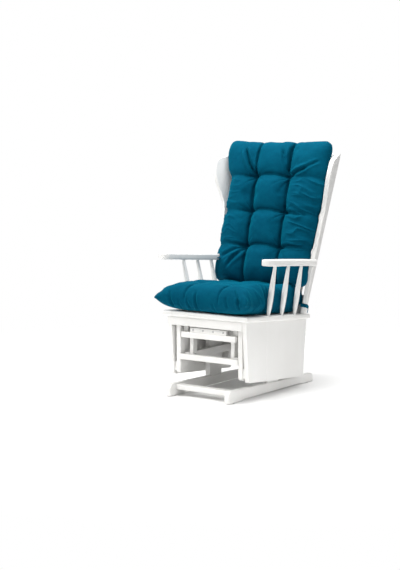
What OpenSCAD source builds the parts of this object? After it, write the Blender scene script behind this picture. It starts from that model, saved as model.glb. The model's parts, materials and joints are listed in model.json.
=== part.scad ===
// Glider nursery chair: a painted wooden seat that hangs from a fixed base on four swinging links.
// Millimetres. +Z up, the sitter faces -Y, +X is the sitter's left hand.
// The origin is on the floor, at the middle of the chair's overall width and depth.

/* [Base] */
// Length of a floor runner, front to back
runner_len = 680; // [640:5:720]
// Thickness of the runners and posts across the chair
runner_t = 24; // [20:1:28]
// Half of the base's width, to the runners' outer faces
base_half = 164; // [158:1:168]
// Height of a runner at its front foot
runner_h_front = 56; // [50:1:62]
// Height of a runner at its rear foot
runner_h_rear = 40; // [36:1:46]
// Width of an upright post, front to back
post_w = 90; // [70:1:100]

/* [Glide] */
// Distance between a link's two pivots
link_len = 115; // [105:1:120]
// Height of the upper pivots
pivot_z = 280; // [276:1:281]
// Front pivots, from the middle of the runners
pivot_front_y = -215; // [-220:1:-210]
// Rear pivots, from the middle of the runners
pivot_rear_y = 105; // [104:1:108]
// Thickness of a link
link_t = 18; // [14:1:20]
// Radius of a link's rounded ends
link_r = 19; // [17:1:20]
// Shank radius of a pivot bolt
bolt_r = 4; // [3:0.5:5]
// Gap between a bumper and its cleat at rest
glide_gap = 28.5; // [28.5:0.5:32]

/* [Seat frame] */
// Backward tilt of the seat
seat_tilt = 4.3; // [3:0.1:5]
// Height of the seat rail's top at the front
seat_h = 366; // [362:1:372]
// Half of the seat rail's width
rail_half = 219; // [215:1:225]
// Depth of the seat rail frame
seat_d = 505; // [500:1:515]
// Thickness of the seat rail
rail_t = 24; // [20:1:26]
// Height of a side panel below the rail
panel_h = 256; // [240:1:260]
// Half of the width over the side panels
panel_half = 204; // [200:1:208]
// Depth of the front apron below the rail
apron_h = 38; // [30:1:40]

/* [Arms] */
// Height of the armrest's underside over the rail
arm_gap = 215; // [190:1:230]
// Thickness of an armrest
arm_t = 28; // [22:1:32]
// Length of an armrest
arm_len = 444; // [430:1:460]
// Outward lean of a spindle over its height
spindle_out = 39; // [30:1:42]
// Greatest radius of a spindle
spindle_r = 12; // [9:0.5:13]

/* [Back] */
// Recline of the back from the vertical
recline = 14.6; // [12:0.2:18]
// Outward flare of the wings as they rise
flare = 5; // [3:0.2:6]
// Outward turn of the wings towards the front
toe_out = 22.5; // [16:0.5:24]
// Length of a wing board along its rear edge
wing_len = 737; // [700:1:750]
// Width of a wing board at the head
wing_w = 156; // [140:1:170]
// Thickness of a wing board
wing_t = 20; // [16:1:22]
// Fall of a wing board's top edge towards the front
wing_fall = 24; // [15:1:30]

/* [Cushions] */
// Thickness of the seat cushion
seat_pad_t = 126; // [100:1:130]
// Thickness of the back cushion
back_pad_t = 124; // [100:1:130]
// Length of the back cushion
back_pad_len = 643; // [620:1:650]

/* [Hidden] */
eps = 0.01;
far = 600;
inner_half = base_half - runner_t;
wood_t = 22;
bar_h = 25;
rail_base_t = 22;
run_clear = 0.05;
// the seat's own frame starts at the rail's front top edge
seat_y = -286;
stile_out = panel_half - 32;
stile_in = stile_out - wood_t;
panel_in = panel_half - 20;
rail_w = 45;
// pieces beside the links, inside out
link_out = inner_half - rail_base_t - 2;
link_in = link_out - link_t;
low_z = pivot_z - link_len;
low_rail_out = inner_half - 2;
beam_front_y = pivot_front_y - 36;
beam_rear_y = pivot_rear_y + 36;
beam_z = 262.5;
// the back's own frame starts on the rail's rear top edge
back_y = seat_y + (seat_d - 4) * cos(seat_tilt);
back_z = seat_h - (seat_d - 4) * sin(seat_tilt);
wing_x = rail_half - 18;
wing_back_r = 14;
wing_shoulder = wing_len - wing_back_r * (1 + sin(wing_fall)) / cos(wing_fall);
back_top_y = back_y + wing_shoulder * cos(flare) * sin(recline);
mid_y = (back_top_y - runner_len / 2) / 2;
spindle_u = [187, 293, 399];
spindle_forward = 24;
arm_u = 36;
pad_gap = 1.5;

white = [0.93, 0.92, 0.90];
teal = [0.02, 0.33, 0.45];
steel = [0.62, 0.63, 0.65];
dark = [0.08, 0.08, 0.09];
$fn = 48;

// ---- frames ----
module placed() translate([0, -mid_y, 0]) children();
module on_seat() translate([0, seat_y, seat_h]) rotate([-seat_tilt, 0, 0]) children();
module on_back() translate([0, back_y, back_z]) rotate([-recline, 0, 0]) children();
module side(s) if (s > 0) children(); else mirror([1, 0, 0]) children();
module on_wing() translate([wing_x, back_y, back_z]) rotate([-recline, 0, 0]) rotate([0, flare, 0])
  rotate([0, 0, toe_out]) children();

// ---- helpers ----
function smooth(t) = let(c = min(1, max(0, t))) c * c * (3 - 2 * c);
function arc(cx, cy, r, a0, a1, n = 8) = [for (i = [0:n]) let(a = a0 + (a1 - a0) * i / n)
  [cx + r * cos(a), cy + r * sin(a)]];
function runner_top(y) = runner_h_front + (runner_h_rear - runner_h_front) * (y + runner_len / 2)
  / runner_len;

// rectangle with rounded corners, from its low corner
module rrect(w, h, r) {
  translate([r, 0]) square([w - 2 * r, h]);
  translate([0, r]) square([w, h - 2 * r]);
  for (x = [r, w - r]) for (y = [r, h - r]) translate([x, y]) circle(r);
}

// bar along X, centred in X, edges rounded
module bar_x(half, y0, y1, z0, z1, r = 3) {
  translate([-half, 0, 0]) rotate([90, 0, 90]) linear_extrude(2 * half) translate([y0, z0])
    rrect(y1 - y0, z1 - z0, r);
}

// bar along Y from its low corner, edges rounded
module bar_y(x0, x1, y0, y1, z0, z1, r = 3) {
  translate([0, y1, 0]) rotate([90, 0, 0]) linear_extrude(y1 - y0) translate([x0, z0])
    rrect(x1 - x0, z1 - z0, r);
}

// plate lying in the Y-Z plane between two X positions
module plate_x(x0, x1, points) {
  translate([x0, 0, 0]) rotate([90, 0, 90]) linear_extrude(x1 - x0) polygon(points);
}

// round shaft or hole along X
module round_x(x0, x1, y, z, r) {
  translate([x0, y, z]) rotate([0, 90, 0]) cylinder(h = x1 - x0, r = r);
}

// six-sided head or nut along X
module hex_x(x0, x1, y, z, r) {
  translate([x0, y, z]) rotate([0, 90, 0]) cylinder(h = x1 - x0, r = r, $fn = 6);
}

// ---- base ----
module runner() {
  h = runner_len / 2;
  foot = 92;
  lift = 6;
  nose = 26;
  tail = 20;
  plate_x(inner_half, base_half, concat(
    [[-h, pad_gap], [-h + foot, pad_gap], [-h + foot + 26, lift],
      [h - foot - 26, lift], [h - foot, pad_gap], [h, pad_gap]],
    arc(h - tail, runner_top(h - tail) - tail, tail, 0, 90),
    arc(-h + nose, runner_top(-h + nose) - nose, nose, 90, 180)));
}
module runner_right() color(white) placed() runner();
module runner_left() color(white) placed() side(-1) runner();

post_holes = [[-22, 276], [22, 276]];
module post() {
  w = post_w / 2;
  difference() {
    plate_x(inner_half, base_half, [[-w, runner_top(-w)], [w, runner_top(w)], [w, 296], [-w, 296]]);
    for (p = post_holes) round_x(inner_half - 1, base_half + 1, p[0], p[1], bolt_r + run_clear);
  }
}
module post_right() color(white) placed() post();
module post_left() color(white) placed() side(-1) post();

module front_stretcher() color(white) placed() bar_x(inner_half, -300, -260, 27, 49, 4);
module rear_stretcher() color(white) placed() bar_x(inner_half, 260, 300, 13, 35, 4);

module top_rail() {
  difference() {
    bar_y(inner_half - rail_base_t, inner_half, beam_front_y + 11, beam_rear_y - 11, 264, 296, 3);
    for (p = post_holes) round_x(inner_half - 40, inner_half + 1, p[0], p[1], bolt_r + run_clear);
    for (y = [pivot_front_y, pivot_rear_y]) round_x(inner_half - 40, inner_half + 1, y, pivot_z,
      bolt_r + run_clear);
  }
}
module top_rail_right() color(white) placed() top_rail();
module top_rail_left() color(white) placed() side(-1) top_rail();

module front_beam() color(white) placed() bar_x(inner_half, beam_front_y - 11, beam_front_y + 11,
  beam_z - bar_h / 2, beam_z + bar_h / 2, 3);
module rear_beam() color(white) placed() bar_x(inner_half, beam_rear_y - 11, beam_rear_y + 11,
  beam_z - bar_h / 2, beam_z + bar_h / 2, 3);

board_screws = [-78, -26, 26, 78];
module front_top_board() {
  color(white) placed() difference() {
    bar_x(link_in - 5, beam_front_y - 8, beam_front_y + 10, beam_z + bar_h / 2, 296, 2);
    for (x = board_screws) translate([x, beam_front_y - 9, 286]) rotate([-90, 0, 0])
      cylinder(h = 15, r = 2.05);
  }
}
module base_screws() {
  color(steel) placed() for (x = board_screws) translate([x, beam_front_y - 8, 286]) rotate([-90, 0, 0]) {
    translate([0, 0, -2]) cylinder(h = 2, r1 = 3, r2 = 4.2);
    translate([0, 0, -0.5]) cylinder(h = 14, r = 2);
  }
}

// rubber bumpers on the posts' front and rear faces
module bumpers() {
  color(dark) placed() for (s = [-1, 1]) side(s) for (k = [-1, 1])
    translate([low_rail_out + 14, k * post_w / 2, low_z]) rotate([-90 * k, 0, 0]) {
      cylinder(h = 6, r = 10);
      translate([0, 0, 6 - eps]) cylinder(h = 2 + eps, r1 = 10, r2 = 8);
    }
}

module floor_pads() {
  h = runner_len / 2;
  color(dark) placed() for (s = [-1, 1]) side(s) for (y = [-h + 44, h - 44])
    translate([base_half - runner_t / 2, y, 0]) cylinder(h = pad_gap, r = 9);
}

// bolts that hold the posts to the top rails
module base_bolts() {
  color(steel) placed() for (s = [-1, 1]) side(s) for (p = post_holes) {
    round_x(inner_half - rail_base_t - 1.5, base_half + eps, p[0], p[1], bolt_r);
    round_x(base_half, base_half + 1.6, p[0], p[1], 9);
    round_x(base_half + 1.5, base_half + 4, p[0], p[1], 7);
    hex_x(inner_half - rail_base_t - 6, inner_half - rail_base_t, p[0], p[1], 7.5);
  }
}

// ---- pivots ----
// one pivot bolt: domed head inside, shank through link and rail, washers on both sides
module pivot_bolt(y, z, out) {
  round_x(link_in - 2, out + 9, y, z, bolt_r);
  round_x(link_in - 3.5, link_in - 0.5, y, z, 9.5);
  round_x(link_in - 7, link_in - 3.4, y, z, 7);
  difference() {
    round_x(link_out + 0.3, link_out + 1.95, y, z, 8);
    round_x(link_out, link_out + 3, y, z, bolt_r - eps);
  }
}
module pivot_nut(y, z, out) {
  difference() {
    union() {
      round_x(out + 0.05, out + 1.6, y, z, 8.5);
      hex_x(out + 1.5, out + 7, y, z, 7.5);
    }
    round_x(out - 1, out + 8, y, z, bolt_r + run_clear);
  }
}
module upper_pivot_bolts() color(steel) placed() for (s = [-1, 1]) side(s)
  for (y = [pivot_front_y, pivot_rear_y]) pivot_bolt(y, pivot_z, inner_half);
module upper_pivot_nuts() color(steel) placed() for (s = [-1, 1]) side(s)
  for (y = [pivot_front_y, pivot_rear_y]) pivot_nut(y, pivot_z, inner_half);
module lower_pivot_bolts() color(steel) placed() for (s = [-1, 1]) side(s)
  for (y = [pivot_front_y, pivot_rear_y]) pivot_bolt(y, low_z, low_rail_out);
module lower_pivot_nuts() color(steel) placed() for (s = [-1, 1]) side(s)
  for (y = [pivot_front_y, pivot_rear_y]) pivot_nut(y, low_z, low_rail_out);

// ---- links ----
bearing_r = 11;
module link(y) {
  n = 12;
  waist = 5;
  difference() {
    union() {
      for (z = [pivot_z, low_z]) round_x(link_in, link_out, y, z, link_r);
      plate_x(link_in, link_out, concat(
        [for (i = [0:n]) [y - link_r + waist * sin(180 * i / n), low_z + link_len * i / n]],
        [for (i = [0:n]) [y + link_r - waist * sin(180 * i / n), pivot_z - link_len * i / n]]));
    }
    for (z = [pivot_z, low_z]) round_x(link_in - 1, link_out + 1, y, z, bearing_r);
  }
}
module bearings(y) {
  for (z = [pivot_z, low_z]) difference() {
    round_x(link_in, link_out, y, z, bearing_r - 0.02);
    round_x(link_in - 1, link_out + 1, y, z, bolt_r + run_clear);
  }
}
module link_front_right() color(white) placed() link(pivot_front_y);
module link_front_left() color(white) placed() side(-1) link(pivot_front_y);
module link_rear_right() color(white) placed() link(pivot_rear_y);
module link_rear_left() color(white) placed() side(-1) link(pivot_rear_y);
module bearings_front_right() color(steel) placed() bearings(pivot_front_y);
module bearings_front_left() color(steel) placed() side(-1) bearings(pivot_front_y);
module bearings_rear_right() color(steel) placed() bearings(pivot_rear_y);
module bearings_rear_left() color(steel) placed() side(-1) bearings(pivot_rear_y);

// ---- lower seat frame ----
low_front_y = beam_front_y + 4;
low_rear_y = beam_rear_y + 24;
module lower_rail() {
  difference() {
    bar_y(low_rail_out - 20, low_rail_out, low_front_y + 11, low_rear_y - 11, low_z - 17, low_z + 17, 3);
    for (y = [pivot_front_y, pivot_rear_y]) round_x(low_rail_out - 30, low_rail_out + 1, y, low_z,
      bolt_r + run_clear);
  }
}
module lower_rail_right() color(white) placed() lower_rail();
module lower_rail_left() color(white) placed() side(-1) lower_rail();
module lower_bar_front() color(white) placed() bar_x(stile_in, low_front_y - 11, low_front_y + 11,
  low_z - bar_h / 2, low_z + bar_h / 2, 3);
module lower_bar_rear() color(white) placed() bar_x(stile_in, low_rear_y - 11, low_rear_y + 11,
  low_z - bar_h / 2, low_z + bar_h / 2, 3);

// blocks that meet the bumpers at the ends of the travel
module stop_cleats() {
  near = post_w / 2 + 8 + glide_gap;
  deep = 13;
  color(white) placed() for (s = [-1, 1]) side(s) for (k = [-1, 1])
    bar_y(low_rail_out, low_rail_out + 24, k > 0 ? near : -near - deep, k > 0 ? near + deep : -near,
      low_z - 15, low_z + 15, 3);
}

// ---- seat box ----
module side_rail() {
  r = 9;
  intersection() {
    bar_y(rail_half - rail_w - 2 * r, rail_half, -1, seat_d + 1, -rail_t, 0, r);
    plate_x(rail_half - rail_w, rail_half + 1, concat(
      arc(seat_d - r, -r, r, 0, 90), arc(r, -r, r, 90, 180),
      arc(r, -rail_t + r, r, 180, 270), arc(seat_d - r, -rail_t + r, r, 270, 360)));
  }
}
module seat_rail_right() color(white) placed() on_seat() side_rail();
module seat_rail_left() color(white) placed() on_seat() side(-1) side_rail();
// cross rail between the side rails, rounded on its outer edge
module cross_rail() {
  r = 9;
  plate_x(-(rail_half - rail_w), rail_half - rail_w, concat(
    [[rail_w, -rail_t], [rail_w, 0]], arc(r, -r, r, 90, 180), arc(r, -rail_t + r, r, 180, 270)));
}
module seat_rail_front() color(white) placed() on_seat() cross_rail();
module seat_rail_rear() color(white) placed() on_seat() translate([0, seat_d, 0]) mirror([0, 1, 0])
  cross_rail();

apron_u = 14;
module apron_front() color(white) placed() on_seat() bar_x(panel_in, apron_u, apron_u + 20,
  -rail_t - apron_h, -rail_t, 2);
module apron_rear() color(white) placed() on_seat() bar_x(panel_in, seat_d - 30, seat_d - 10,
  -rail_t - apron_h + 4, -rail_t, 2);

panel_foot = 42;
module panel() {
  r = 10;
  low = -rail_t - panel_h;
  difference() {
    plate_x(panel_in, panel_half, concat(
      [[apron_u, -rail_t]],
      arc(apron_u + panel_foot + r, low + r, r, 188, 270, 5),
      arc(seat_d - 8 - r, low + r, r, 270, 360, 5),
      [[seat_d - 6, -rail_t]]));
    // joint line between the panel's two boards
    translate([panel_half - 0.8, 0, 0]) rotate([90, 0, 90]) linear_extrude(2)
      polygon([[173, -rail_t + 1], [174.6, -rail_t + 1], [194.6, low - 1], [193, low - 1]]);
  }
}
module panel_right() color(white) placed() on_seat() panel();
module panel_left() color(white) placed() on_seat() side(-1) panel();

stile_w = 56;
module stile_shape(u0, lean, drop) {
  low = -rail_t - drop;
  k = lean * drop / panel_h;
  plate_x(stile_in, stile_out, concat(
    [[u0, -rail_t]], [[u0 + k, low + 6], [u0 + k + 6, low]],
    [[u0 + k + stile_w - 6, low], [u0 + k + stile_w, low + 6]], [[u0 + stile_w, -rail_t]]));
}
module stiles_front() color(white) placed() on_seat() for (s = [-1, 1]) side(s)
  stile_shape(apron_u + 20, panel_foot - 20, panel_h - 8);
module stiles_rear() color(white) placed() on_seat() for (s = [-1, 1]) side(s)
  stile_shape(seat_d - 30 - stile_w, 0, panel_h - 30);

// strips that hold the stiles off the panels
module stile_spacers() {
  low = -rail_t - panel_h;
  color(white) placed() on_seat() for (s = [-1, 1]) side(s) {
    bar_y(stile_out, panel_in, apron_u + panel_foot, apron_u + panel_foot + 44, low + 18, low + 58, 2);
    bar_y(stile_out, panel_in, apron_u + 24, seat_d - 34, -rail_t - 30, -rail_t, 2);
    bar_y(stile_out, panel_in, seat_d - 84, seat_d - 34, low + 40, low + 80, 2);
  }
}

// slats across the seat, let into the side rails' inner faces
module seat_slats() {
  n = 6;
  first = rail_w + 8;
  last = seat_d - rail_w - 8;
  w = 50;
  color(white) placed() on_seat() for (i = [0:n - 1]) let(u = first + (last - first - w) * i / (n - 1))
    bar_x(rail_half - rail_w, u, u + w, -19, -5, 3);
}

// ---- arms ----
arm_in = 214;
arm_tip_out = 26;
// outward sweep of an armrest towards its tip
function arm_bow(t) = arm_tip_out * smooth(1 - 1.9 * t);
module arm_outline() {
  w = 58;
  n = 10;
  tip_r = 30;
  tail_r = 32;
  polygon(concat(
    [for (i = [0:n]) [arm_in + arm_bow(i / n), tip_r + (arm_len - tip_r) * i / n]],
    arc(arm_in + w - tail_r, arm_len - tail_r, tail_r, 90, 0),
    [for (i = [n:-1:0]) [arm_in + w + arm_bow(i / n), tip_r + (arm_len - tip_r - tail_r) * i / n]],
    arc(arm_in + arm_tip_out + w - tip_r + 1, tip_r, tip_r - 1, 0, -90, 10),
    arc(arm_in + arm_tip_out + tip_r, tip_r, tip_r, 270, 180, 10)));
}
// room for the wing board behind its own front edge
module wing_room() {
  on_wing() translate([-wing_t - 80, -wing_front(arm_gap + 20) - 0.3, 0]) cube([wing_t + 80.2, 300, 500]);
}
module arm() {
  difference() {
    on_seat() translate([0, arm_u, arm_gap]) linear_extrude(arm_t) arm_outline();
    wing_room();
  }
}
module arm_right() color(white) placed() arm();
module arm_left() color(white) placed() side(-1) arm();

// turned spindle: slim at both ends, fullest low down, with short tenons into the rail and the arm
function spindle_radius(t) = 7 + (spindle_r - 7) * pow(sin(180 * pow(t, 0.75)), 1.4);
module spindle(u) {
  len = norm([spindle_out, spindle_forward, arm_gap]);
  n = 14;
  translate([panel_half - 3, u, 0])
    rotate([0, acos(arm_gap / len), atan2(-spindle_forward, spindle_out)])
      translate([0, 0, -3]) rotate_extrude($fn = 40) polygon(concat([[0, 0]],
        [for (i = [0:n]) [spindle_radius(i / n), (len + 6) * i / n]], [[0, len + 6]]));
}
module spindles() on_seat() for (u = spindle_u) spindle(u);
module spindles_right() color(white) placed() spindles();
module spindles_left() color(white) placed() side(-1) spindles();

// ---- back ----
// width of a wing board at a height along it
function wing_front(h) = 45 + 40 * smooth(h / 240) + 8 * smooth(h / 450) + (wing_w - 93)
  * smooth((h - 450) / 165);
module wing_board() {
  n = 26;
  top_r = 45;
  // height at which the front corner's rounding starts
  straight = wing_len - (top_r + (wing_w - top_r) * sin(wing_fall)) / cos(wing_fall);
  on_wing() plate_x(-wing_t, 0, concat(
    [[0, -40]],
    arc(-wing_back_r, wing_shoulder, wing_back_r, 0, 90 + wing_fall, 6),
    arc(-wing_w + top_r, straight, top_r, 90 + wing_fall, 180, 8),
    [for (i = [n - 1:-1:0]) [-wing_front(straight * i / n), straight * i / n]],
    [[-wing_front(0), -40]]));
}
// everything below the seat rail's top
module below_rail() on_seat() translate([-far, -far, -far]) cube([2 * far, 3 * far, far]);
module wing() {
  difference() {
    wing_board();
    below_rail();
  }
}
module wing_right() color(white) placed() wing();
module wing_left() color(white) placed() side(-1) wing();

// space outside the wings' inner faces
module beyond_wings() for (s = [-1, 1]) side(s) on_wing() translate([-wing_t, -far, -far / 2])
  cube([far, 2 * far, 2.5 * far]);

crest_low = 636;
crest_high = 738;
low_back_high = 78;
crest_rise = 14;
// height of the crest rail's gently arched top
function crest_top(x) = crest_high - crest_rise * (1 - cos(x * 0.4));
module crest_rail() {
  n = 16;
  color(white) placed() difference() {
    on_back() translate([0, -8, 0]) rotate([90, 0, 0]) linear_extrude(20) polygon(concat(
      [[-300, crest_low], [300, crest_low]],
      [for (i = [0:n]) let(x = 300 - 600 * i / n) [x, crest_top(x)]]));
    beyond_wings();
  }
}
module lower_back_rail() {
  color(white) placed() difference() {
    on_back() bar_x(300, -28, -8, -30, low_back_high, 3);
    beyond_wings();
    below_rail();
  }
}
module back_slats() {
  n = 5;
  low = 296;
  high = 400;
  color(white) placed() on_back() for (i = [0:n - 1]) let(k = i / (n - 1) - 0.5)
    translate([0, -11, 0]) rotate([90, 0, 0]) linear_extrude(14) polygon([
      [k * low - 22, low_back_high], [k * low + 22, low_back_high],
      [k * high + 26, crest_low], [k * high - 26, crest_low]]);
}

// ---- cushions ----
function superround(a, b, e, n = 40) = [for (i = [0:n - 1]) let(c = cos(360 * i / n), s = sin(360 * i / n))
  [a * sign(c) * pow(abs(c), 2 / e), b * sign(s) * pow(abs(s), 2 / e)]];

seat_pad_half = 230;
seat_pad_d = 498;
seat_pad_u = -34;
// how far the pad's rear end leans back to meet the back, for each mm of its height
seat_pad_lean = 0.15;
module seat_pad() {
  m = seat_pad_u + seat_pad_d / 2;
  t = seat_pad_t;
  neck_u = spindle_u[0] - spindle_forward - 2;
  reach = seat_pad_lean * t;
  intersection() {
    // plan: full width in front of the spindles, narrower between them
    translate([0, 0, 1]) linear_extrude(t) difference() {
      translate([0, m + reach / 2]) polygon(superround(seat_pad_half, (seat_pad_d + reach) / 2, 9));
      for (s = [-1, 1]) translate([s > 0 ? 184 : -384, neck_u - 12]) square([200, 500]);
    }
    translate([0, m, 1 + t / 2]) rotate([90, 0, 90]) linear_extrude(2 * far, center = true)
      polygon([for (p = superround(seat_pad_d / 2, t / 2, 5))
        [p[0] + seat_pad_lean * (p[1] + t / 2) * smooth(2 * p[0] / seat_pad_d), p[1]]]);
    translate([0, 0, 1 + t / 2]) rotate([90, 0, 0]) linear_extrude(3 * far, center = true)
      polygon(superround(seat_pad_half, t / 2, 6));
  }
}
module seat_cushion() color(teal) placed() on_seat() seat_pad();

back_pad_low = 114;
low_half = 208;
high_half = 256;
// half of the back cushion's width at a height over its middle: narrow between the arms, wider at the head
function back_pad_half(z) = low_half + (high_half - low_half) * smooth((z + back_pad_len / 2 - 180) / 290);
module back_pad() {
  h = back_pad_len;
  t = back_pad_t;
  n = 56;
  translate([0, -30.2 - t / 2, back_pad_low + h / 2]) intersection() {
    rotate([90, 0, 0]) linear_extrude(2 * t, center = true)
      polygon([for (p = superround(1, h / 2, 9, n)) [p[0] * back_pad_half(p[1]), p[1]]]);
    rotate([90, 0, 90]) linear_extrude(2 * far, center = true) polygon(superround(t / 2, h / 2, 7));
    linear_extrude(2 * far, center = true) polygon(superround(high_half, t / 2, 5));
  }
}
module back_cushion() color(teal) placed() on_back() back_pad();

// tie tapes: the back cushion's go over the crest rail, and the seat cushion's go round the wings' feet
module cushion_ties() {
  tape_w = 16;
  tape_t = 1.6;
  tie_x = 205;
  over = crest_top(tie_x) + 0.4;
  foot_h = 22;
  foot_front = wing_front(foot_h + tape_w) + 0.4;
  color(teal) placed() for (s = [-1, 1]) side(s) {
    on_back() {
      translate([tie_x, -29.9, over - 40]) cube([tape_w, 1.5, 40 + tape_t]);
      translate([tie_x, -29.9, over]) cube([tape_w, 24, tape_t]);
      translate([tie_x, -7.5, over - 62]) cube([tape_w, tape_t, 62 + tape_t]);
    }
    on_wing() {
      translate([-wing_t - 5, -foot_front - tape_t, foot_h]) cube([wing_t + 5.4 + tape_t, tape_t, tape_w]);
      translate([0.4, -foot_front - tape_t, foot_h]) cube([tape_t, foot_front + 2 * tape_t + 0.4, tape_w]);
      translate([-15, 0.4, foot_h]) cube([15.4 + tape_t, tape_t, tape_w]);
    }
  }
}

runner_right();
runner_left();
post_right();
post_left();
front_stretcher();
rear_stretcher();
top_rail_right();
top_rail_left();
front_beam();
rear_beam();
front_top_board();
bumpers();
floor_pads();
base_bolts();
base_screws();
upper_pivot_bolts();
upper_pivot_nuts();
link_front_right();
link_front_left();
link_rear_right();
link_rear_left();
bearings_front_right();
bearings_front_left();
bearings_rear_right();
bearings_rear_left();
lower_rail_right();
lower_rail_left();
lower_bar_front();
lower_bar_rear();
stop_cleats();
lower_pivot_bolts();
lower_pivot_nuts();
seat_rail_right();
seat_rail_left();
seat_rail_front();
seat_rail_rear();
apron_front();
apron_rear();
panel_right();
panel_left();
stiles_front();
stiles_rear();
stile_spacers();
seat_slats();
arm_right();
arm_left();
spindles_right();
spindles_left();
wing_right();
wing_left();
crest_rail();
lower_back_rail();
back_slats();
seat_cushion();
back_cushion();
cushion_ties();
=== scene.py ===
import json
import math

import bmesh
import bpy
import numpy as np
from mathutils import Matrix, Vector
from mathutils.bvhtree import BVHTree


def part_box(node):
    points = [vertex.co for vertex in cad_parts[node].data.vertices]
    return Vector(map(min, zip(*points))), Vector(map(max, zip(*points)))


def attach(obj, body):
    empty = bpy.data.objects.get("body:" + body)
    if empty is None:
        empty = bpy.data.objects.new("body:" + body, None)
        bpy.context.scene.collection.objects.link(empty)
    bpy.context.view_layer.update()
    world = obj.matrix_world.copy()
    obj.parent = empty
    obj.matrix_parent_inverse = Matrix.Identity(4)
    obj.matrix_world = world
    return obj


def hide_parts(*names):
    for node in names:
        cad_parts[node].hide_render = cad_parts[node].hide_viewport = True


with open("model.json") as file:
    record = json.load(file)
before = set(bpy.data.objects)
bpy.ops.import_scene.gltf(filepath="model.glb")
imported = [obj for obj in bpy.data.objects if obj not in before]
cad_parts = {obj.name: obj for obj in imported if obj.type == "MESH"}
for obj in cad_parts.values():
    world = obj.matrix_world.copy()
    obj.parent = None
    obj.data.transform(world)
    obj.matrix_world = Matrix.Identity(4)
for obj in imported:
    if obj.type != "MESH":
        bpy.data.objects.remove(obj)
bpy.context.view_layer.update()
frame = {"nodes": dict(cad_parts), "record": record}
bodies = frame["record"]["behaviour"]["bodies"]
body_of_node = {n: b for b, members in bodies.items() for n in members}
nodes = frame["nodes"]

# ---------------------------------------------------------------- camera
# the lens is given as the focal length in pixels of an image that is IMAGE_H high
IMAGE_H, FOCAL_PX, SENSOR = 570, 1350, 36.0
cam_data = bpy.data.cameras.new("camera")
cam_data.sensor_width = SENSOR
cam_data.lens = FOCAL_PX * SENSOR / IMAGE_H
cam_data.clip_end = 60
cam = bpy.data.objects.new("camera", cam_data)
bpy.context.collection.objects.link(cam)
# fitted to the straight edges of the seat frame and the base
CAM_AT, CAM_DOWN, CAM_TURN = (3.2827, -4.9288, 1.1229), 6.4, 35.6
cam.location = CAM_AT
cam.rotation_euler = (math.radians(90 - CAM_DOWN), 0, math.radians(CAM_TURN))
bpy.context.scene.camera = cam


# ---------------------------------------------------------------- materials
class Nodes:
    """A small helper that wires shader nodes."""

    def __init__(self, name):
        self.mat = bpy.data.materials.new(name)
        self.mat.use_nodes = True
        self.tree = self.mat.node_tree
        self.bsdf = self.tree.nodes["Principled BSDF"]
        self.where = self.tree.nodes.new("ShaderNodeTexCoord").outputs["Object"]

    def add(self, kind, inputs=(), **props):
        n = self.tree.nodes.new("ShaderNode" + kind)
        for k, v in props.items():
            setattr(n, k, v)
        for k, v in dict(inputs).items():
            if isinstance(v, bpy.types.NodeSocket):
                self.tree.links.new(v, n.inputs[k])
            else:
                n.inputs[k].default_value = v
        return n

    def noise(self, scale, detail=3.0, rough=0.5, where=None, distort=0.0):
        return self.add("TexNoise", {"Vector": where or self.where, "Scale": scale, "Detail": detail,
                                     "Roughness": rough, "Distortion": distort}).outputs["Fac"]

    def stretch(self, scale, turn=(0, 0, 0)):
        return self.add("Mapping", {"Vector": self.where, "Scale": scale, "Rotation": turn}).outputs["Vector"]

    def ramp(self, fac, low, high):
        n = self.add("ValToRGB", {"Fac": fac})
        for e, (at, colour) in zip(n.color_ramp.elements, (low, high)):
            e.position = at
            e.color = (*colour, 1)
        return n.outputs["Color"]

    def span(self, value, low, high, to_low, to_high):
        return self.add("MapRange", {"Value": value, "From Min": low, "From Max": high,
                                     "To Min": to_low, "To Max": to_high}).outputs["Result"]

    def math(self, op, a, b):
        return self.add("Math", {0: a, 1: b}, operation=op).outputs[0]

    def mix(self, fac, a, b):
        return self.add("Mix", {0: fac, 6: a, 7: b}, data_type="RGBA").outputs[2]

    def bump(self, height, distance, strength=1.0, normal=None):
        inputs = {"Height": height, "Distance": distance, "Strength": strength}
        if normal is not None:
            inputs["Normal"] = normal
        return self.add("Bump", inputs).outputs["Normal"]

    def out(self, **links):
        for k, v in links.items():
            socket = self.bsdf.inputs[k.replace("_", " ")]
            if isinstance(v, bpy.types.NodeSocket):
                self.tree.links.new(v, socket)
            else:
                socket.default_value = v
        return self.mat


# linear colours of the paint, the cloth (with a darker teal painted in as the shade between its threads), the
# steel and the rubber, and the spacing of the cloth's threads
PAINT_LOW, PAINT_HIGH, PAINT_GRAIN = (0.80, 0.795, 0.775), (0.865, 0.86, 0.845), (0.70, 0.685, 0.655, 1)
TEAL_LOW, TEAL_HIGH = (0.0003, 0.056, 0.104), (0.0006, 0.078, 0.134)
TEAL_SLUB, TEAL_GAP_SHADE = (0.0010, 0.104, 0.168, 1), (0.0003, 0.036, 0.072, 1)
TEAL_SHEEN = (0.0, 0.55, 0.72, 1)
STEEL_LOW, STEEL_HIGH = (0.36, 0.36, 0.37), (0.62, 0.62, 0.63)
RUBBER_LOW, RUBBER_HIGH = (0.012, 0.012, 0.013), (0.032, 0.032, 0.034)
THREAD_PITCH = 0.0011


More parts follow.
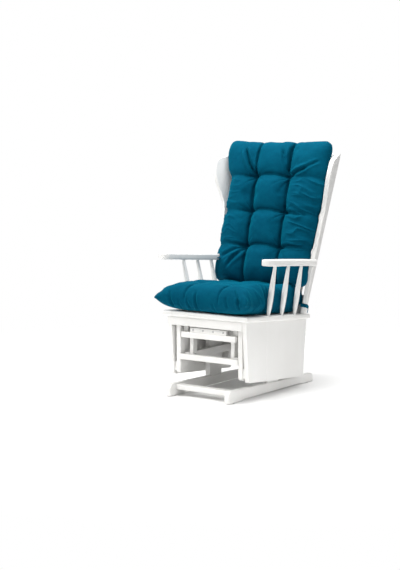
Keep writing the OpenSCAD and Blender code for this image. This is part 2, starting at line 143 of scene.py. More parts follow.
def white_paint(name, grain_turn):
    """Satin white enamel over close-grained hardwood: faint grain showing through, a little orange peel."""
    m = Nodes(name)
    grain = m.noise(9.0, 6, 0.62, m.stretch((1, 1, 0.06), grain_turn), 0.6)
    fine = m.noise(160.0, 3, 0.55, m.stretch((1, 1, 0.05), grain_turn))
    cloud = m.noise(3.2, 3)
    tint = m.ramp(cloud, (0.3, PAINT_LOW), (0.7, PAINT_HIGH))
    tint = m.mix(m.span(grain, 0.35, 0.75, 0.0, 0.16), tint, PAINT_GRAIN)
    rough = m.span(m.noise(26.0, 4), 0.3, 0.7, 0.34, 0.47)
    peel = m.bump(m.noise(420.0, 2), 0.00006, 0.5)
    lines = m.bump(m.math("ADD", grain, m.math("MULTIPLY", fine, 0.35)), 0.00035, 0.45, peel)
    return m.out(Base_Color=tint, Roughness=rough, Normal=lines, Specular_IOR_Level=0.45,
                 Coat_Weight=0.12, Coat_Roughness=0.25)


def steel(name):
    """Zinc-plated steel, brushed along its length."""
    m = Nodes(name)
    rub = m.noise(240.0, 4, 0.6, m.stretch((1, 0.15, 0.15)))
    tint = m.ramp(m.noise(60.0, 4), (0.3, STEEL_LOW), (0.7, STEEL_HIGH))
    return m.out(Base_Color=tint, Metallic=1.0, Roughness=m.span(rub, 0.3, 0.7, 0.24, 0.46),
                 Normal=m.bump(rub, 0.00005, 0.4))


def rubber(name):
    """Dull black moulded rubber."""
    m = Nodes(name)
    grit = m.noise(520.0, 3)
    tint = m.ramp(m.noise(40.0, 3), (0.3, RUBBER_LOW), (0.7, RUBBER_HIGH))
    return m.out(Base_Color=tint, Roughness=m.span(grit, 0.3, 0.7, 0.62, 0.82),
                 Normal=m.bump(grit, 0.0001, 0.5))


def teal_cloth(name):
    """A soft petrol blue plain weave with a short brushed nap."""
    m = Nodes(name)
    bands = {"Vector": m.where, "Scale": 1 / THREAD_PITCH / 6.283, "Distortion": 0.6, "Detail": 1.0,
             "Detail Scale": 2.0}
    warp, weft = (m.add("TexWave", bands, wave_type="BANDS", bands_direction=way).outputs["Fac"]
                  for way in "XZ")
    weave = m.math("MULTIPLY", m.math("ADD", warp, weft), 0.5)
    nap = m.noise(900.0, 3, 0.6)
    slub = m.noise(70.0, 5, 0.65)
    cloud = m.noise(7.0, 4, 0.55)
    tint = m.ramp(cloud, (0.25, TEAL_LOW), (0.75, TEAL_HIGH))
    tint = m.mix(m.span(slub, 0.35, 0.7, 0.0, 0.30), tint, TEAL_SLUB)
    # painted shade: the cloth's colour is darkened between the threads, where the weave's bump is low
    tint = m.mix(m.span(weave, 0.2, 0.8, 0.30, 0.0), tint, TEAL_GAP_SHADE)
    height = m.math("ADD", weave, m.math("MULTIPLY", nap, 0.8))
    fine = m.bump(height, 0.00035, 0.55)
    soft = m.bump(m.noise(34.0, 4, 0.6, None, 0.4), 0.0018, 0.35, fine)
    return m.out(Base_Color=tint, Roughness=m.span(nap, 0.3, 0.7, 0.72, 0.92), Normal=soft,
                 Specular_IOR_Level=0.02, Sheen_Weight=0.26, Sheen_Roughness=0.38, Sheen_Tint=TEAL_SHEEN)


# one paint for each way that the grain under it can run
GRAIN_TURNS = {"z": (0, 0, 0), "y": (math.pi / 2, 0, 0), "x": (0, math.pi / 2, 0)}
PAINT = {axis: white_paint("paint_" + axis, turn) for axis, turn in GRAIN_TURNS.items()}
STEEL, RUBBER, CLOTH = steel("zinc_steel"), rubber("black_rubber"), teal_cloth("teal_cloth")
FINISHES = {"painted_wood": PAINT["z"], "steel": STEEL, "rubber": RUBBER, "teal_fabric": CLOTH}


def finish_with(o, mat):
    o.data.materials.clear()
    o.data.materials.append(mat)


# ---------------------------------------------------------------- painted wood
def grain_axis(name):
    """The axis that a board's grain runs along."""
    lo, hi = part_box(name)
    size = hi - lo
    if name.startswith(("panel", "back_slats", "spindles", "stiles", "wing", "link", "post")):
        return "z"
    if name == "seat_slats" or "apron" in name or "crest" in name or "lower_back" in name:
        return "x"
    return "xyz"[max(range(3), key=lambda i: size[i])]


def softened(name, width):
    """A copy of a CAD board with its sharp edges eased by width, as sanded and painted wood has them."""
    mesh = nodes[name].data.copy()
    o = bpy.data.objects.new("wood_" + name, mesh)
    bpy.context.collection.objects.link(o)
    bm = bmesh.new()
    bm.from_mesh(mesh)
    bmesh.ops.remove_doubles(bm, verts=bm.verts, dist=WELD)
    bmesh.ops.dissolve_limit(bm, angle_limit=math.radians(FLAT), verts=bm.verts, edges=bm.edges)
    bm.to_mesh(mesh)
    bm.free()
    for p in mesh.polygons:
        p.use_smooth = True
    bevel = o.modifiers.new("eased", "BEVEL")
    bevel.width = width
    bevel.segments = 3
    bevel.limit_method = "ANGLE"
    bevel.angle_limit = math.radians(CORNER)
    bevel.miter_outer = "MITER_ARC"
    bevel.use_clamp_overlap = True
    if name.startswith("arm"):
        skin = o.modifiers.new("skin", "REMESH")
        skin.mode = "VOXEL"
        skin.voxel_size = ARM_VOXEL
        sanded = o.modifiers.new("sanded", "SMOOTH")
        sanded.factor = 0.5
        sanded.iterations = ARM_SANDING
    apply_modifiers(o)
    smooth_by_angle(o, SHADE_WOOD)
    flat = o.modifiers.new("flat_faces", "WEIGHTED_NORMAL")
    flat.weight = 100
    flat.keep_sharp = True
    apply_modifiers(o)
    finish_with(o, PAINT[grain_axis(name)])
    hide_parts(name)
    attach(o, body_of_node[name])
    return o


def apply_modifiers(o):
    """Makes a piece's modifiers part of its mesh."""
    graph = bpy.context.evaluated_depsgraph_get()
    graph.update()
    made = bpy.data.meshes.new_from_object(o.evaluated_get(graph), depsgraph=graph)
    old = o.data
    o.modifiers.clear()
    o.data = made
    bpy.data.meshes.remove(old)


def smooth_by_angle(o, degrees):
    """Shades a piece smooth, with sharp edges where two faces meet at more than an angle."""
    mesh = o.data
    limit = math.radians(degrees)
    bm = bmesh.new()
    bm.from_mesh(mesh)
    for f in bm.faces:
        f.smooth = True
    for e in bm.edges:
        e.smooth = len(e.link_faces) != 2 or e.calc_face_angle(0) < limit
    bm.to_mesh(mesh)
    bm.free()


# in a board, points closer than WELD become one, so do faces that meet at less than FLAT degrees, and edges
# whose faces meet at more than CORNER degrees are rounded
WELD, FLAT, CORNER = 2e-5, 0.6, 32
# the angles, in degrees, above which an edge is shaded sharp
SHADE_WOOD, SHADE_PARTS, SHADE_TAPE = 38, 40, 50
# how far a board's edges are rounded, by how its name starts, and for all others
EASE = {"wing": 0.0035, "arm": 0.006, "runner": 0.004, "post": 0.003, "crest": 0.004, "link": 0.003}
EASE_OTHER = 0.0022
# the arms' rounding is made by a fine remesh that is then smoothed this many times
ARM_VOXEL, ARM_SANDING = 0.0025, 26
slot_of_node = {s["node"]: s["material_slot"] for s in frame["record"]["subparts"]}
wood = {}
for name in sorted(nodes):
    slot = slot_of_node[name]
    if slot == "painted_wood" and not name.startswith("spindles"):
        wood[name] = softened(name, next((w for k, w in EASE.items() if name.startswith(k)), EASE_OTHER))
    else:
        finish_with(nodes[name], FINISHES[slot])
        smooth_by_angle(nodes[name], SHADE_PARTS)


# ---------------------------------------------------------------- cushions
# how far the seat frame and the back frame lean back
SEAT_TILT, RECLINE = math.radians(4.3), math.radians(14.6)


def tilted(angle):
    """Axes of a frame leaning back by angle: across, front to back, and up, as the columns of a matrix."""
    c, s = math.cos(angle), math.sin(angle)
    return np.array([[1, 0, 0], [0, c, s], [0, -s, c]])


def mesh_points(o):
    p = np.empty(len(o.data.vertices) * 3)
    o.data.vertices.foreach_get("co", p)
    return p.reshape(-1, 3)


def smooth(t):
    t = np.clip(t, 0, 1)
    return t * t * (3 - 2 * t)


def cusp(d, w):
    """A sewn-in crease: 1 on its line, falling in a round shoulder to 0 at the distance w."""
    t = 1 - np.clip(np.abs(d) / w, 0, 1)
    return 1 - np.sqrt(1 - t * t)


def along(x, z, a, b):
    """Distance from the segment a-b, and how far along it each point is, from 0 to 1."""
    ax, az = a
    dx, dz = b[0] - ax, b[1] - az
    t = np.clip(((x - ax) * dx + (z - az) * dz) / (dx * dx + dz * dz), 0, 1)
    return np.hypot(x - ax - t * dx, z - az - t * dz), t


def even_steps(half, rise, power, n):
    """Positions from -1 to 1 that lie evenly along a rounded cross-section."""
    a = np.sin(np.linspace(0, math.pi / 2, 4001))
    h = (1 - a ** power) ** 0.5
    length = np.concatenate([[0], np.cumsum(np.hypot(np.diff(a) * half, np.diff(h) * rise))])
    side = np.interp(np.linspace(0, length[-1], n // 2 + 1), length, a)
    return np.concatenate([-side[:0:-1], side])


class Pillow:
    """A knife-edged pillow: a front and a rear sheet, each on a grid, that share the seam round their edge.

    place(S, T, side) gives the points of a sheet, where S and T run from -1 to 1 across it and along it."""

    def __init__(self, name, s, t, place):
        ns, nt = len(s), len(t)
        self.name = name
        S, T = np.meshgrid(s, t, indexing="ij")
        front, rear = place(S, T, 1), place(S, T, -1)
        edge = np.zeros((ns, nt), bool)
        edge[0] = edge[-1] = edge[:, 0] = edge[:, -1] = True
        inner = ~edge
        a = np.arange(ns * nt).reshape(ns, nt)
        b = a.copy()
        b[inner] = ns * nt + np.arange(inner.sum())
        self.seam = a[edge]
        self.points = np.concatenate([front.reshape(-1, 3), rear[inner]])
        quads = []
        for g, flip in ((a, False), (b, True)):
            q = np.stack([g[:-1, :-1], g[1:, :-1], g[1:, 1:], g[:-1, 1:]], -1).reshape(-1, 4)
            quads.append(q[:, ::-1] if flip else q)
        self.faces = np.concatenate(quads)

    def build(self, points):
        mesh = bpy.data.meshes.new(self.name)
        mesh.from_pydata(points.tolist(), [], self.faces.tolist())
        mesh.update()
        o = bpy.data.objects.new(self.name, mesh)
        bpy.context.collection.objects.link(o)
        return o


# the cloth solver's run: its frames, the pressure in the pillows, the cloth's shrinking (less than 0, so the
# cloth is longer than it lies), the furthest that a point may move, and how often the movement is evened out
SIM_FRAMES, PRESSURE, SLACK, MOST_MOVE, EVENINGS = 20, 3.0, -0.03, 0.022, 8


def evened(values, faces, passes):
    """Averages the values of neighbouring points, which takes small puckers out of the solver's movement."""
    a, b = faces.ravel(), np.roll(faces, -1, 1).ravel()
    count = np.bincount(a, minlength=len(values)) + np.bincount(b, minlength=len(values))
    for _ in range(passes):
        total = np.zeros_like(values)
        np.add.at(total, a, values[b])
        np.add.at(total, b, values[a])
        values = (values + total / count[:, None]) / 2
    return values


def inflate(pillows):
    """Runs the cloth solver on pillows given as (pillow, pin weights, give).

    give is the share of the solver's movement that each point keeps: little along the stitched lines."""
    scene = bpy.context.scene
    made = []
    for p, pins, _ in pillows:
        o = p.build(p.points)
        group = o.vertex_groups.new(name="held")
        for level in np.unique(np.round(pins[pins > 0.01], 2)):
            group.add(np.where(np.abs(pins - level) < 0.0051)[0].tolist(), float(level), "REPLACE")
        cloth = o.modifiers.new("cloth", "CLOTH")
        c = cloth.settings
        c.quality = 6
        c.mass = 0.25
        c.tension_stiffness = c.compression_stiffness = 18
        c.shear_stiffness = 6
        c.bending_stiffness = 0.35
        c.air_damping = 2.0
        c.tension_damping = c.compression_damping = 6
        c.use_pressure = True
        c.uniform_pressure_force = PRESSURE
        c.shrink_min = SLACK
        c.vertex_group_mass = "held"
        c.pin_stiffness = 1.2
        c.effector_weights.gravity = 0
        cloth.collision_settings.use_collision = False
        cloth.collision_settings.use_self_collision = False
        cloth.point_cache.frame_start, cloth.point_cache.frame_end = 1, SIM_FRAMES
        made.append(o)
    for f in range(1, SIM_FRAMES + 1):
        scene.frame_set(f)
    graph = bpy.context.evaluated_depsgraph_get()
    result = []
    for (p, _, give), o in zip(pillows, made):
        mesh = o.evaluated_get(graph).to_mesh()
        new = np.empty(len(mesh.vertices) * 3)
        mesh.vertices.foreach_get("co", new)
        o.evaluated_get(graph).to_mesh_clear()
        move = evened(new.reshape(-1, 3) - p.points, p.faces, EVENINGS)
        size = np.linalg.norm(move, axis=1, keepdims=True)
        result.append(p.points + move * np.minimum(1, MOST_MOVE / np.maximum(size, 1e-9)) * give[:, None])
    for o in made:
        mesh = o.data
        bpy.data.objects.remove(o)
        bpy.data.meshes.remove(mesh)
    scene.frame_set(1)
    return result


FIELD_CELLS = 96


def field(u, v, seed):
    """Smooth random values from 0 to 1 over a plane, the same on every run."""
    n = FIELD_CELLS
    grid = np.random.default_rng(seed).random((n, n))
    iu, iv = np.floor(u).astype(int), np.floor(v).astype(int)
    fu, fv = smooth(u - iu), smooth(v - iv)
    at = lambda i, j: grid[(iu + i) % n, (iv + j) % n]
    return (at(0, 0) * (1 - fu) + at(1, 0) * fu) * (1 - fv) + (at(0, 1) * (1 - fu) + at(1, 1) * fu) * fv


def unevenness(u, v, seed):
    """The slow unevenness of a cushion's filling, and a finer one over it."""
    fine = 0.0012 * (field(u / 0.018, v / 0.018, seed + 1) - 0.5)
    return 0.0030 * (field(u / 0.045, v / 0.045, seed) - 0.5) + fine


def stitch_groove(distance, depth, width):
    """The narrow valley that a row of stitches draws into the cloth."""
    return depth * np.exp(-(distance / width) ** 2)


def fold(x, z, a, b, width, depth):
    """A fold in the cloth from a to b: a narrow valley between two low rolls, dying out at both ends."""
    d, t = along(x, z, a, b)
    fade = smooth(np.minimum(t, 1 - t) * 4 + 0.15)
    roll = np.exp(-((d - 1.15 * width) / (0.55 * width)) ** 2)
    return depth * fade * (0.45 * roll - np.exp(-(d / (0.5 * width)) ** 2))


def gathers(x, z, cx, cz, spokes, reach, depth, turn):
    """Creases that run out from a tuft."""
    dx, dz = x - cx, z - cz
    r, th = np.hypot(dx, dz), np.arctan2(dz, dx)
    sharp = (0.5 + 0.5 * np.cos(spokes * th + turn + 0.8 * np.sin(2 * th + turn))) ** 4
    uneven = 0.55 + 0.45 * np.cos(2 * th + 2.3 * turn)
    return -depth * uneven * (sharp - 0.25) * smooth(r / 0.012) * np.exp(-r / reach)


def push_clear(points, axes, names, gap):
    """Moves points out of the wooden pieces they would touch. points are in the tilted frame axes."""
    world = points @ axes.T
    for n in names:
        o = wood.get(n) or nodes[n]
        p = mesh_points(o)
        lo, hi = p.min(0) - gap, p.max(0) + gap
        near = np.where(((world > lo) & (world < hi)).all(1))[0]
        if not len(near):
            continue
        tree = BVHTree.FromPolygons([tuple(v) for v in p], [tuple(f.vertices) for f in o.data.polygons])
        for i in near:
            spot, normal, _, _ = tree.find_nearest(Vector(world[i]), 0.04)
            if spot is not None and (Vector(world[i]) - spot).dot(normal) < gap:
                world[i] = spot + normal * gap
    return world @ axes


def subdivided(p, points):
    """A pillow as a mesh piece, with each of its faces cut in four and rounded."""
    o = p.build(points)
    sub = o.modifiers.new("finer", "SUBSURF")
    sub.levels = sub.render_levels = 1
    apply_modifiers(o)
    return o


def vertex_normals(o):
    n = np.empty(len(o.data.vertices) * 3)
    o.data.vertices.foreach_get("normal", n)
    return n.reshape(-1, 3)


def local_box(name, axes):
    """The lowest and highest corners of a CAD node in a tilted frame."""
    p = mesh_points(nodes[name]) @ axes
    return p.min(0), p.max(0)


BACK_AXES, SEAT_AXES = tilted(RECLINE), tilted(SEAT_TILT)
BACK_TO_SEAT = RECLINE - SEAT_TILT
# the two stitched columns of both cushions run at this distance from the middle
TUFT_X = 0.087
# how far back the front face of the lower back rail is, in the back frame
RAIL_FRONT = local_box("lower_back_rail", BACK_AXES)[0][1]
# how near the seat cushion's rear end comes to that rail, and the length of cushion that gives way for it
REAR_GAP, REAR_REACH = 0.003, 0.070
# heights above the back cushion's foot and its half widths there, on the near side and on the far side
RIGHT_EDGE = ((0.000, 0.130, 0.250, 0.405, 0.545, 0.600, 0.640),
              (0.232, 0.235, 0.245, 0.256, 0.261, 0.267, 0.262))
LEFT_EDGE = ((0.000, 0.150, 0.275, 0.370, 0.450, 0.500, 0.590, 0.640),
             (0.246, 0.249, 0.241, 0.236, 0.233, 0.252, 0.272, 0.266))


def bow(x):
    """How far a stitched row rises between the two columns."""
    return 0.010 * np.cos(np.clip(x / TUFT_X, -1, 1) * math.pi / 2)


def nearest(distances):
    """Each point's distance from the nearest of several lines."""
    return np.min(distances, axis=0)


def rounded(S, T, s_power, t_power):
    """The thickness of a pillow over its plan: 1 in the middle, falling to 0 at its four edges."""
    return np.sqrt(np.clip(1 - np.abs(S) ** s_power, 0, 1) * np.clip(1 - np.abs(T) ** t_power, 0, 1))


def back_pillow():
    """The back cushion's pillow, pin weights and give, the heights of its stitched rows and its mid-plane."""
    lo, hi = local_box("back_cushion", BACK_AXES)
    length = hi[2] - lo[2]
    pitch = length / 4
    rows = [lo[2] - 0.007 + pitch * k for k in (0, 1, 2, 3)]
    middle, front, rear = hi[1] - 0.060, 0.066, 0.058
    low = lo[2] - 0.012
    centre, length = (low + hi[2]) / 2, hi[2] - low

    def place(S, T, side):
        Z = centre + T * length / 2
        pinch = sum(np.exp(-((Z - r) / 0.022) ** 2) for r in rows[1:])
        half = np.where(S > 0, np.interp(Z - lo[2], *RIGHT_EDGE), np.interp(Z - lo[2], *LEFT_EDGE))
        half = half - 0.006 * pinch
        corner = 0.014 * np.abs(S) ** 20 * np.abs(T) ** 28
        X = S * half - np.sign(S) * corner
        Z = Z - np.sign(T) * corner + 0.007 * np.abs(S) ** 4 * smooth((T - 0.6) / 0.4)
        Z = Z - 0.007 * cusp(np.abs(X) - TUFT_X, 0.04) * smooth((T - 0.8) / 0.2)
        body = rounded(S, T, 5, np.where(T < 0, 14, 7))
        dx = np.abs(X) - TUFT_X
        dz = nearest([np.abs(Z - r) for r in rows])
        tuft = nearest([np.hypot(dx, Z - r) for r in rows[1:]])
        if side > 0:
            top = smooth((Z - rows[3]) / 0.05)
            arch = nearest([np.abs(Z - r - bow(X)) for r in rows])
            column = 0.050 - 0.018 * top * (X < 0)
            across = 0.021 - 0.010 * smooth(dx / 0.09)
            drop = column * cusp(dx, 0.070) + across * cusp(arch, 0.070) + 0.016 * cusp(tuft, 0.050)
            return np.stack([X, middle - (front - drop) * body, Z], -1)
        drop = 0.012 * cusp(dx, 0.06) + 0.008 * cusp(dz, 0.06) + 0.016 * cusp(tuft, 0.05)
        return np.stack([X, middle + (rear - drop) * body, Z], -1)

    s_steps, t_steps = even_steps(0.24, 0.062, 5, 112), even_steps(length / 2, 0.062, 7, 146)
    p = Pillow("back_cushion_tufted", s_steps, t_steps, place)
    x, z = p.points[:, 0], p.points[:, 2]
    dx = np.abs(np.abs(x) - TUFT_X)
    tuft = nearest([np.hypot(dx, z - r) for r in rows[1:]])
    row = nearest([np.abs(z - r) for r in rows])
    inside = np.ones(len(x))
    inside[p.seam] = 0
    pins = np.maximum.reduce([1.0 * (tuft < 0.007), 0.90 * (dx < 0.005) * inside,
                              0.25 * (row < 0.004) * inside, 0.15 * (1 - inside)])
    give = np.minimum.reduce([0.10 + 0.90 * smooth(dx / 0.034), 0.35 + 0.65 * smooth(row / 0.03),
                              smooth(tuft / 0.04)])
    return p, pins, give, rows, middle


# the height of the seat cushion's seam above its underside
SEAT_HALF = 0.054


def rail_face(w):
    """How far back the lower back rail's front face is in the seat frame, at height w."""
    return RAIL_FRONT / math.cos(BACK_TO_SEAT) + math.tan(BACK_TO_SEAT) * w


def seat_pillow():
    """The same for the seat cushion, and the function that holds its rear in."""
    lo, hi = local_box("seat_cushion", SEAT_AXES)
    front_edge, rear_edge = lo[1] - 0.006, hi[1] + 0.008
    length = rear_edge - front_edge
    pitch = length / 3
    rows = [front_edge + pitch * k for k in (1, 2)]
    middle, top, under = lo[2] + SEAT_HALF, 0.076, 0.0525
    notch = local_box("spindles_right", SEAT_AXES)[0][1] - 0.012
    rear_half = 0.183
    centre = (front_edge + rear_edge) / 2

    def to_rail(X, U, W):
        """Shortens the last of the cushion so that its rear end stands just in front of the rail."""
        room = rail_face(W) - U
        least = rail_face(lo[2]) - rear_edge
        kept = np.interp(room, [least, REAR_REACH], [REAR_GAP, REAR_REACH])
        return np.stack([X, rail_face(W) - np.where(room < REAR_REACH, kept, room), W], -1)

    def place(S, T, side):
        U = centre + T * length / 2
        behind = smooth((U - notch + 0.034) / 0.034)
        half = rear_half + (0.236 - rear_half) * (1 - behind)
        half = half - 0.006 * (1 - ((U - front_edge) / (notch - front_edge) * 2 - 1) ** 2) * (U < notch)
        X = S * half
        U = U + 0.010 * (1 - np.abs(S) ** 2) * smooth((-T - 0.5) / 0.5) - 0.004 * np.abs(S) ** 6 * (T < -0.8)
        round_end = np.clip(1 - np.abs(T) ** np.where(T < 0, 8 + 4 * smooth(S / 0.7), 22), 0, 1)
        power = 5 + 13 * np.maximum(behind, 0.2 * (S > 0))
        body = np.sqrt(np.clip(1 - np.abs(S) ** power, 0, 1) * round_end)
        lean = 0.19 * smooth((T - 0.2) / 0.8)
        spread = 0.15 * np.sign(S) * np.abs(S) ** 8 * behind
        dx = np.abs(X) - TUFT_X
        dz = nearest([np.abs(U - r) for r in rows])
        tuft = nearest([np.hypot(dx, U - r) for r in rows])
        if side > 0:
            drop = 0.020 * cusp(dx, 0.075) + 0.014 * cusp(dz, 0.075) + 0.022 * cusp(tuft, 0.06)
            lump = 0.022 * np.exp(-(((X - 0.185) / 0.036) ** 2 + ((U - rows[0] - 0.01) / 0.05) ** 2))
            lump += 0.005 * np.exp(-(((X + 0.16) / 0.05) ** 2 + ((U - rows[0]) / 0.06) ** 2))
            W = middle + (top - drop + lump) * body
            return to_rail(X + spread * (W - lo[2]), U + lean * (W - lo[2]), W)
        W = middle - under * rounded(S, T, 6 + 14 * behind, np.where(T < 0, 9, 20))
        return to_rail(X + spread * (W - lo[2]), U + lean * (W - lo[2]), W)

    s_steps, t_steps = even_steps(0.23, 0.065, 3.6, 108), even_steps(length / 2, 0.065, 6, 108)
    p = Pillow("seat_cushion_tufted", s_steps, t_steps, place)
    x, u, w = p.points.T
    dx = np.abs(np.abs(x) - TUFT_X)
    on_top = w > middle
    tuft = nearest([np.hypot(dx, u - r) for r in rows])
    row = nearest([np.abs(u - r) for r in rows])
    inside = np.ones(len(x))
    inside[p.seam] = 0
    to_corner = np.hypot(np.abs(x) - 0.236, u - front_edge)
    give = np.where(on_top, np.minimum(0.15 + 0.85 * smooth(dx / 0.034), 0.3 + 0.7 * smooth(row / 0.03)), 1.0)
    give = give * smooth(to_corner / 0.11)
    pins = np.maximum.reduce([1.0 * (tuft < 0.007) * on_top, 0.60 * (dx < 0.004) * inside * on_top,
                              0.30 * (row < 0.004) * inside * on_top, 0.35 * (w < lo[2] + 0.006),
                              0.2 * (1 - inside)])

    def between_spindles(points):
        """Holds the rear of the cushion inside the two rows of leaning spindles and in front of the rail."""
        x, u, w = points.T
        most = np.where(u > notch - 0.012, rear_half + 0.011 + 0.18 * (w - lo[2]), 1.0)
        points = points.copy()
        points[:, 0] = np.clip(x, -most, most)
        points[:, 1] = np.minimum(u, rail_face(w) - REAR_GAP)
        return points

    return p, pins, give, rows, middle, between_spindles


back, back_pins, back_give, back_rows, back_middle = back_pillow()
seat, seat_pins, seat_give, seat_rows, seat_middle, between_spindles = seat_pillow()
back_shape, seat_shape = inflate([(back, back_pins, back_give), (seat, seat_pins, seat_give)])
seat_shape = between_spindles(seat_shape)

BACK_NEIGHBOURS = ("wing_right", "wing_left", "arm_right", "arm_left", "spindles_right", "spindles_left",
                   "back_slats", "crest_rail", "lower_back_rail")
SEAT_NEIGHBOURS = ("spindles_right", "spindles_left", "wing_right", "wing_left", "seat_rail_right",
                   "seat_rail_left", "seat_rail_front", "seat_rail_rear", "seat_slats", "lower_back_rail")
# how far the cloth stays off its neighbours
CLOTH_GAP = 0.002


def finish_pillow(p, shape, axes, node, neighbours, detail):
    """Makes the cushion that stands for a CAD node, from an inflated shape and the height of its folds."""
    shape = push_clear(shape, axes, neighbours, CLOTH_GAP + 0.001)
    o = subdivided(p, shape)
    pts, nrm = mesh_points(o), vertex_normals(o)
    pts = pts + nrm * detail(pts, nrm)[:, None]
    pts = push_clear(pts, axes, neighbours, CLOTH_GAP)
    o.data.vertices.foreach_set("co", (pts @ axes.T).ravel())
    o.data.update()
    for f in o.data.polygons:
        f.use_smooth = True
    finish_with(o, CLOTH)
    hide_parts(node)
    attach(o, body_of_node[node])


def back_detail(pts, _):
    """The height of the folds over the back cushion's front."""
    x, y, z = pts.T
    front = smooth((back_middle - y) / 0.02)
    r1, r2, r3 = back_rows[1:]
    h = np.zeros(len(x))
    for k, r in enumerate((r1, r2, r3)):
        for s in (-1, 1):
            h += gathers(x, z, s * TUFT_X, r, 9, 0.036, 0.0075, 1.7 * k + 0.9 * s)
    # pulled cloth, as where each fold starts and ends, its width and its depth
    for a, b, width, depth in (
            ((-TUFT_X - 0.006, r3 + 0.006), (-0.150, r3 + 0.128), 0.013, 0.020),
            ((-TUFT_X, r3), (-0.082, r3 + 0.15), 0.009, 0.005),
            ((TUFT_X, r3), (0.080, r3 + 0.15), 0.013, 0.009),
            ((TUFT_X - 0.004, r3 + 0.006), (0.048, r3 + 0.125), 0.011, 0.006),
            ((TUFT_X, r3), (0.190, r3 + 0.040), 0.013, 0.011),
            ((0.150, r3 + 0.020), (0.240, r3 + 0.075), 0.010, 0.005),
            ((-TUFT_X, r1), (-0.200, r1 - 0.06), 0.014, 0.006),
            ((-TUFT_X, r1), (-0.165, r1 - 0.110), 0.013, 0.007),
            ((-TUFT_X, r1), (-0.20, r1 + 0.012), 0.012, 0.005),
            ((TUFT_X, r2), (0.215, r2 - 0.012), 0.013, 0.007),
            ((TUFT_X, r1), (0.215, r1 + 0.010), 0.012, 0.006)):
        h += fold(x, z, a, b, width, depth)
    # cloth crowded against the wings
    u = x / 0.075 + 0.25 * field(x / 0.05, z / 0.05, 5)
    v = z / 0.017 + 1.6 * field(x / 0.06, z / 0.09, 11) + 7.0 * x
    ridge = 1 - np.abs(2 * field(u, v, 3) - 1)
    crowd = smooth((np.abs(x) - 0.115) / 0.06) * (0.35 + 0.65 * (x > 0))
    crowd = crowd * smooth((r3 + 0.02 - z) / 0.05) * smooth((z - r1 + 0.03) / 0.05)
    h += 0.0080 * crowd * (ridge ** 3 - 0.35)
    # the stitched columns, drawn in hard, and the rows, which bow up between the tufts
    waver = 0.004 * (field(x * 0, z / 0.03, 2) - 0.5)
    h -= stitch_groove(np.abs(x) - TUFT_X + waver, 0.010, 0.0048)
    for r in (r1, r2, r3):
        h -= stitch_groove(z - bow(x) - r, 0.006, 0.0046) * (1 - smooth((np.abs(x) - TUFT_X) / 0.07))
    h += unevenness(x, z, 8)
    return h * front


def seat_detail(pts, nrm):
    """The height of the folds over the seat cushion's top, front and sides."""
    x, u, w = pts.T
    above = smooth((w - seat_middle + 0.02) / 0.03)
    h = np.zeros(len(x))
    for k, r in enumerate(seat_rows):
        for s in (-1, 1):
            h += above * gathers(x, u, s * TUFT_X, r, 9, 0.034, 0.0045, 1.3 * k + 0.7 * s)
    # creases down the front face, as where each starts and ends over the underside, its width and its depth
    face = smooth((-nrm[:, 1] - 0.15) / 0.4)
    for a, b, width, depth in (
            ((-0.168, 0.088), (-0.146, 0.012), 0.011, 0.0055),
            ((-0.078, 0.066), (-0.058, 0.008), 0.009, 0.0045),
            ((-0.032, 0.092), (-0.022, 0.004), 0.010, 0.006),
            ((-0.120, 0.055), (-0.108, 0.012), 0.009, 0.003),
            ((0.190, 0.085), (0.197, 0.024), 0.010, 0.005),
            ((0.060, 0.050), (0.064, 0.010), 0.010, 0.003),
            ((0.125, 0.078), (0.140, 0.030), 0.010, 0.004),
            ((0.160, 0.110), (0.205, 0.045), 0.010, 0.005)):
        h += face * fold(x, w - (seat_middle - SEAT_HALF), a, b, width, depth)
    # small wrinkles on the sides
    side = smooth((np.abs(nrm[:, 0]) - 0.3) / 0.3)
    ridge = 1 - np.abs(2 * field(u / 0.022 + 2 * field(u / 0.05, w / 0.05, 4), w / 0.070, 6) - 1)
    h += 0.004 * side * (ridge ** 3 - 0.35)
    h -= above * stitch_groove(np.abs(x) - TUFT_X, 0.006, 0.0048)
    h += unevenness(x, u + w, 18)
    return h * smooth((w - seat_middle + 0.05) / 0.012)


finish_pillow(back, back_shape, BACK_AXES, "back_cushion", BACK_NEIGHBOURS, back_detail)
finish_pillow(seat, seat_shape, SEAT_AXES, "seat_cushion", SEAT_NEIGHBOURS, seat_detail)


# ---------------------------------------------------------------- tie tapes
TAPE_W, TAPE_T = 0.016, 0.0012
# where the back frame and the near wing's frame stand, and how they are turned
BACK_ORIGIN = Vector((0, 0.18697, 0.32844))
WING_ORIGIN = Vector((0.201, 0.18697, 0.32844))
LEAN_BACK = Matrix.Rotation(-RECLINE, 3, "X")
WING_TURN = LEAN_BACK @ Matrix.Rotation(math.radians(5), 3, "Y") @ Matrix.Rotation(math.radians(22.5), 3, "Z")


def rounded_path(points, rounds=3):
    """The path through points with its corners cut smooth."""
    p = np.array(points, float)
    for _ in range(rounds):
        a, b = p[:-1] * 0.75 + p[1:] * 0.25, p[:-1] * 0.25 + p[1:] * 0.75
        p = np.concatenate([p[:1], np.stack([a, b], 1).reshape(-1, 3), p[-1:]])
    return p


